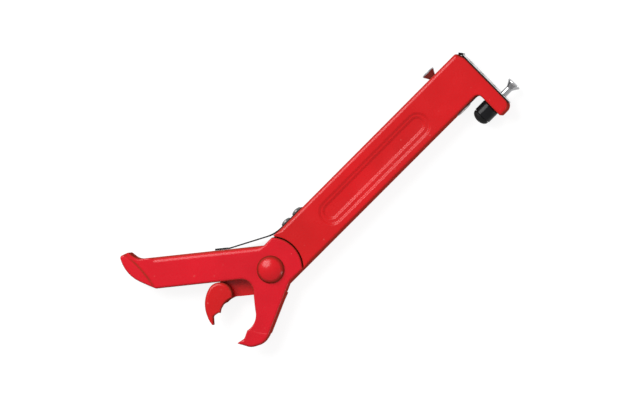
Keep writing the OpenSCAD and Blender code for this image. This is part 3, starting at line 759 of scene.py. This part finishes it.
def pull_rows(shaft_start, neck):
    """A plunger's shaft and its flared pull head, as heights along its axis."""
    rows = [(0, shaft_start), (2.8, shaft_start), (SHAFT_R, shaft_start + 0.4),
            (SHAFT_R, neck - 0.5), (3.22, neck)]
    rows += [(SHAFT_R + (PULL_R - SHAFT_R) * t ** 1.15, neck + 5.5 * t)
             for t in np.linspace(0.06, 0.98, 12)]
    top = neck + PULL
    rows += [(PULL_R, neck + 5.6), (PULL_R, top - 0.25)]
    rows += arc(PULL_R - 0.25, top - 0.25, 0.25, 20, 90, 4)
    return rows + [(5.95, top - 0.08), (5.5, top - 0.4), (3.0, top - 0.58), (0, top - 0.6)]


turned("press_pin_bright", pull_rows(press_low[0], press_high[0] - PULL), (0, PRESS_Y, MID),
       (1, 0, 0), "press_plunger", CHROME, "press_pin")
turned("lock_pin_bright", pull_rows(lock_low[1], lock_high[1] - PULL), (LOCK_X, 0, MID),
       (0, 1, 0), "lock_plunger", CHROME, "lock_pin")

# the press plunger's collar and pad; the pad's stem sits in a bore of the collar
STEM_R, STEM_DEPTH = 4.6, 3.6
low, high = box_mm("press_collar")
x0, x1, r = low[0], high[0], (high[1] - low[1]) / 2
collar = [(STEM_R, x0), (r - 0.4, x0)] + arc(r - 0.4, x0 + 0.4, 0.4, -90, 0, 5)
collar += [(r, x1 - 1.1), (r - 0.05, x1 - 0.9), (r - 0.9, x1 - 0.05), (r - 1.1, x1),
           (SHAFT_R + 0.01, x1), (SHAFT_R + 0.01, x0 + STEM_DEPTH), (STEM_R, x0 + STEM_DEPTH),
           (STEM_R, x0)]
turned("collar", collar, (0, PRESS_Y, MID), (1, 0, 0), "press_plunger", BLACK, "press_collar")
low, high = box_mm("press_pad")
tip, r = low[0], (high[1] - low[1]) / 2
crown = x0 - 0.9 - tip             # from the pad's tip to the groove behind its crown
pad = [(r * math.sin(a), tip + crown * (1 - math.cos(a))) for a in np.linspace(0, math.pi / 2, 16)]
pad += [(r, x0 - 0.9), (r - 0.1, x0 - 0.7), (r - 1.1, x0 - 0.6), (r - 1.1, x0 - 0.02),
        (STEM_R - 0.05, x0 - 0.02), (STEM_R - 0.05, x0 + STEM_DEPTH - 0.05),
        (0, x0 + STEM_DEPTH - 0.05)]
turned("pad", pad, (0, PRESS_Y, MID), (1, 0, 0), "press_plunger", RUBBER, "press_pad")

# the lock plunger's foot, with a countersink for its screw
low, high = box_mm("lock_foot")
y0, y1, r = low[1], high[1], (high[0] - low[0]) / 2
turned("foot", [(2.05, y0 + 2.15), (4.15, y0), (r - 0.6, y0), (r - 0.1, y0 + 0.3), (r, y0 + 0.7),
                (r, y1 - 0.3), (r - 0.3, y1), (2.05, y1), (2.05, y0 + 2.15)],
       (LOCK_X, 0, MID), (0, 1, 0), "lock_plunger", FOOT, "lock_foot")

# ---- socket screws ----
PLATE_SCREWS = ("end_plate_screw_top", "end_plate_screw_middle", "end_plate_screw_bottom")
LEAF_T = 0.9                       # thickness of the leaf spring


def socket_screw(node, origin, axis, body, rows, hex_r, hex_depth, top, mat,
                 name=None):
    """A turned screw with a hexagon socket that goes down from its top."""
    obj = new_object(name or node + "_head", *lathe(rows, origin, axis, 48))
    hexagon = [(0, top - hex_depth), (hex_r, top - hex_depth + 0.05), (hex_r, top + 1),
               (0, top + 1)]
    boolean(obj, new_object("hexagon", *lathe(hexagon, origin, axis, 6)), "DIFFERENCE")
    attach(obj, body)
    dress(obj, mat, node, 34)


for node in ("leaf_screw_front", "leaf_screw_rear"):
    low, high = box_mm(node)
    r, top = (high[0] - low[0]) / 2, high[1] - (HALF_W + LEAF_T)
    button = [(r * math.cos(math.radians(a)), 1.0 + (top - 1.0) * math.sin(math.radians(a)))
              for a in (10, 25, 40, 52, 64)]
    socket_screw(node, ((low[0] + high[0]) / 2, HALF_W + LEAF_T, MID), (0, 1, 0), "handle",
                 [(0, -11.9), (2.98, -11.9), (2.98, 0), (r - 0.15, 0), (r, 0.15), (r, 1.0)]
                 + button + [(r * 0.36, top), (0, top)], 2.3, 2.0, top, ZINC)
for node in PLATE_SCREWS:
    low, high = box_mm(node)
    r, t = (high[1] - low[1]) / 2, high[0] - HANDLE_END
    socket_screw(node, (HANDLE_END, (low[1] + high[1]) / 2, MID), (1, 0, 0), "handle",
                 [(0, -9), (1.98, -9), (1.98, 0.0), (r - t - 0.02, 0.0), (r - 0.1, t - 0.05),
                  (r - 0.2, t - 0.01), (0, t - 0.01)], 1.26, 0.55, t, OXIDE)
socket_screw("lock_foot_screw", (LOCK_X, box_mm("lock_foot_screw")[0][1], MID), (0, -1, 0),
             "lock_plunger", [(0, -13.2), (1.98, -13.2), (1.98, -2.2), (4.1, -0.1), (4.0, 0),
                              (0, 0)], 1.25, 1.6, 0, ZINC, "foot_screw_head")

# ---- end plate: a thin plate with eased edges and a thick lip over the bevel ----
low, high = box_mm("end_plate")
plan = slice_loops("end_plate", low[2] + 1)[0]
plate = new_object("cover_plate", *slab(plan, low[2], high[2], even(0.3), even(0.3), step=1.5))
for node in PLATE_SCREWS:
    a, b = box_mm(node)
    r, t = (b[1] - a[1]) / 2, b[0] - HANDLE_END
    cut_round(plate, (HANDLE_END - 1, (a[1] + b[1]) / 2, MID), (1, 0, 0),
              [(2, 0), (2, 1), (r - t, 1), (r, 1 + t), (r, 3)])
cut_round(plate, (HANDLE_END - 1, PRESS_Y, MID), (1, 0, 0), [(PIN_R, 0), (PIN_R, 4)])
for sign, y in ((1, high[1]), (-1, low[1])):       # the hidden back corners are cut off
    wedge = [(y + sign, low[2] - 1), (y - 9 * sign, low[2] - 1), (y + sign, low[2] + 13)]
    boolean(plate, prism(wedge, lambda p, end: (HANDLE_END + (-6, 6)[end], *p)), "DIFFERENCE")
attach(plate, "handle")
dress(plate, BLACK, "end_plate", 40)
plate.data.materials.append(STEEL_PAINTED_REFLECTION)
for face in plate.data.polygons:                   # its outer face is ground steel, with a painted reflection in its near-white colour
    if face.normal.x > 0.9 and face.center.x > HANDLE_END * MM:
        face.material_index = 1

# ---- leaf spring: a strip with rounded corners, on the handle and on the arm ----
LEAF_W = 14.0
LEAF_CORNER = 1.8                  # radius of the strip's rounded corners
LEAF_Y = HALF_W + LEAF_T / 2       # the strip's middle line on the handle
LEAF_END_X = 59.2                  # its end on the handle
# where the strip bends off the handle, and the bend's radius and angle
BEND_X, BEND_R, BEND_A = 33.5, 34.0, math.radians(27.6)
FOOT_U, FOOT_W = 38.6, -22.4 - LEAF_T / 2          # where the strip meets the arm
FOOT_MORE, FOOT_LEN = 0.8, 12.5    # the strip's foot is this much thicker, over this length

path = [np.array([LEAF_END_X - d, LEAF_Y]) for d in (0, 0.4, 1.0, 1.8, 4, 8, 13, 18, 22, 25.0)]
path += [np.array([BEND_X - BEND_R * math.sin(a), LEAF_Y + BEND_R * (1 - math.cos(a))])
         for a in np.linspace(0, BEND_A, 9)]
first, last = path[-1], on_arm(FOOT_U, FOOT_W)
path += [first + (last - first) * t for t in np.linspace(0.1, 0.9, 9)]
path += [on_arm(FOOT_U + d, FOOT_W) for d in (0, 2, 5, 8, 9.5, 10.3, 10.9, 11.3)]
path = np.array(path)
along = np.r_[0, np.cumsum(np.linalg.norm(np.diff(path, axis=0), axis=1))]
tangent = np.gradient(path, axis=0)
tangent /= np.linalg.norm(tangent, axis=1)[:, None]
normal = np.stack([-tangent[:, 1], tangent[:, 0]], 1)
from_end = np.minimum(np.minimum(along, along[-1] - along), LEAF_CORNER)
half = LEAF_W / 2 - LEAF_CORNER + np.sqrt(
    np.maximum(LEAF_CORNER ** 2 - (LEAF_CORNER - from_end) ** 2, 0))
thicker = FOOT_MORE * np.clip((along - (along[-1] - FOOT_LEN)) / 3, 0, 1)
section = [(-1, -0.32), (-1, 0.32), (-0.988, 0.5), (0.988, 0.5), (1, 0.32), (1, -0.32),
           (0.988, -0.5), (-0.988, -0.5)]          # across the strip, and through it
verts, faces = [], []
for c, nrm, hw, more in zip(path, normal, half, thicker):
    for across, t in section:
        xy = c + nrm * (t * LEAF_T - more * (t < 0))
        verts.append((xy[0], xy[1], MID + across * hw))
m = len(section)
for k in range(len(path) - 1):
    for i in range(m):
        j = (i + 1) % m
        faces.append((k * m + i, k * m + j, (k + 1) * m + j, (k + 1) * m + i))
faces += [list(range(m)), [(len(path) - 1) * m + i for i in range(m)]]
leaf = new_object("leaf_strip", verts, faces)
dress(leaf, SPRING, "leaf_spring", 50)
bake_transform(leaf)

# ---- floor and background ----
ACROSS = Vector((1, -1, 0)).normalized()           # image right
UP = Vector((1, 1, 0)).normalized()                # image up
# how bright the sky is by height: 0 is the horizon and below, 1 is straight above
SKY = ((0.0, 0.06), (0.25, 0.10), (0.5, 0.40), (0.75, 0.50), (1.0, 0.50))


def grey(level):
    return (level, level, level, 1)


def seen_rays(tree):
    """1 for rays that show the backdrop: the camera's, and what metal mirrors or glass passes."""
    path = tree.nodes.new("ShaderNodeLightPath")
    total = path.outputs["Is Camera Ray"]
    for name in ("Is Glossy Ray", "Is Transmission Ray"):
        larger = tree.nodes.new("ShaderNodeMath")
        larger.operation = "MAXIMUM"
        tree.links.new(total, larger.inputs[0])
        tree.links.new(path.outputs[name], larger.inputs[1])
        total = larger.outputs[0]
    return total


def pick(tree, lights, shows, out):
    """Links one shader for the rays that light the object and one for those that show."""
    mix = tree.nodes.new("ShaderNodeMixShader")
    tree.links.new(seen_rays(tree), mix.inputs[0])
    tree.links.new(lights.outputs[0], mix.inputs[1])
    tree.links.new(shows.outputs[0], mix.inputs[2])
    tree.links.new(mix.outputs[0], out.inputs[0])


def floor_material():
    """Nearly white with the object's shadow where it shows, and a plain grey for the light."""
    mat = bpy.data.materials.new("floor")
    mat.use_nodes = True
    tree = mat.node_tree
    tree.nodes.clear()
    glow = tree.nodes.new("ShaderNodeEmission")
    glow.inputs["Strength"].default_value = 0.87
    shows = tree.nodes.new("ShaderNodeAddShader")
    plain = tree.nodes.new("ShaderNodeBsdfDiffuse")
    plain.inputs["Color"].default_value = grey(0.30)
    soft = tree.nodes.new("ShaderNodeBsdfDiffuse")
    soft.inputs["Color"].default_value = grey(0.2)
    tree.links.new(glow.outputs[0], shows.inputs[0])
    tree.links.new(soft.outputs[0], shows.inputs[1])
    pick(tree, plain, shows, tree.nodes.new("ShaderNodeOutputMaterial"))
    return mat


def studio():
    """A soft grey sky that lights the object, and a white one where it shows."""
    world = bpy.data.worlds.new("studio")
    world.use_nodes = True
    tree = world.node_tree
    coords = tree.nodes.new("ShaderNodeTexCoord")
    split = tree.nodes.new("ShaderNodeSeparateXYZ")
    tree.links.new(coords.outputs["Generated"], split.inputs[0])
    ramp = tree.nodes.new("ShaderNodeValToRGB")
    tree.links.new(split.outputs["Z"], ramp.inputs[0])
    elements = ramp.color_ramp.elements
    elements[0].position, elements[1].position = SKY[0][0], SKY[-1][0]
    for height, _ in SKY[1:-1]:
        elements.new(height)
    for element, (_, level) in zip(elements, SKY):
        element.color = grey(level)
    sky = tree.nodes["Background"]
    tree.links.new(ramp.outputs[0], sky.inputs["Color"])
    white = tree.nodes.new("ShaderNodeBackground")
    for background in (sky, white):
        background.inputs["Strength"].default_value = 1.0
    pick(tree, sky, white, tree.nodes["World Output"])
    return world


bpy.ops.mesh.primitive_plane_add(size=8, location=(0.07, 0.02, -0.0004))
floor = bpy.context.object
floor.name = "floor"
floor.data.materials.append(floor_material())
bpy.context.scene.world = studio()

# ---- lamps and camera ----
TARGET = Vector((76.47, 12.82, 22)) * MM           # the point in the middle of the image
YAW, RISE, ROLL = 0.1607, 0.0104, 0.0041           # radians that the camera is off straight down
CAMERA_DISTANCE = 4.5
LENS = 280.3


def lamp(name, direction, distance, size, power):
    """A round soft lamp that points at the target."""
    light = bpy.data.lights.new(name, "AREA")
    light.shape = "DISK"
    light.size = size
    light.energy = power
    obj = bpy.data.objects.new(name, light)
    direction = Vector(direction).normalized()
    obj.location = TARGET + direction * distance
    obj.rotation_euler = direction.to_track_quat("Z", "Y").to_euler()
    bpy.context.scene.collection.objects.link(obj)


lamp("key", (0.0, 0.694, 0.72), 2.0, 1.55, 44)
lamp("rim", ACROSS * 0.85 - UP * 0.35 + Vector((0, 0, 0.14)), 2.0, 0.6, 13)

toward_camera = (Vector((0, 0, 1)) * math.cos(YAW) * math.cos(RISE) + ACROSS * math.sin(YAW)
                 + UP * math.sin(RISE) * math.cos(YAW)).normalized()
level_right = UP.cross(toward_camera).normalized()
level_up = toward_camera.cross(level_right)
right = level_right * math.cos(ROLL) + level_up * math.sin(ROLL)
upward = level_up * math.cos(ROLL) - level_right * math.sin(ROLL)
cam = bpy.data.cameras.new("camera")
cam.lens = LENS
cam.sensor_width = 36
cam.clip_end = 50
camera = bpy.data.objects.new("camera", cam)
bpy.context.scene.collection.objects.link(camera)
turn = Matrix((right, upward, toward_camera)).transposed()
camera.matrix_world = Matrix.Translation(TARGET + toward_camera * CAMERA_DISTANCE) @ turn.to_4x4()
bpy.context.scene.camera = camera
bpy.context.scene.view_settings.view_transform = "Standard"
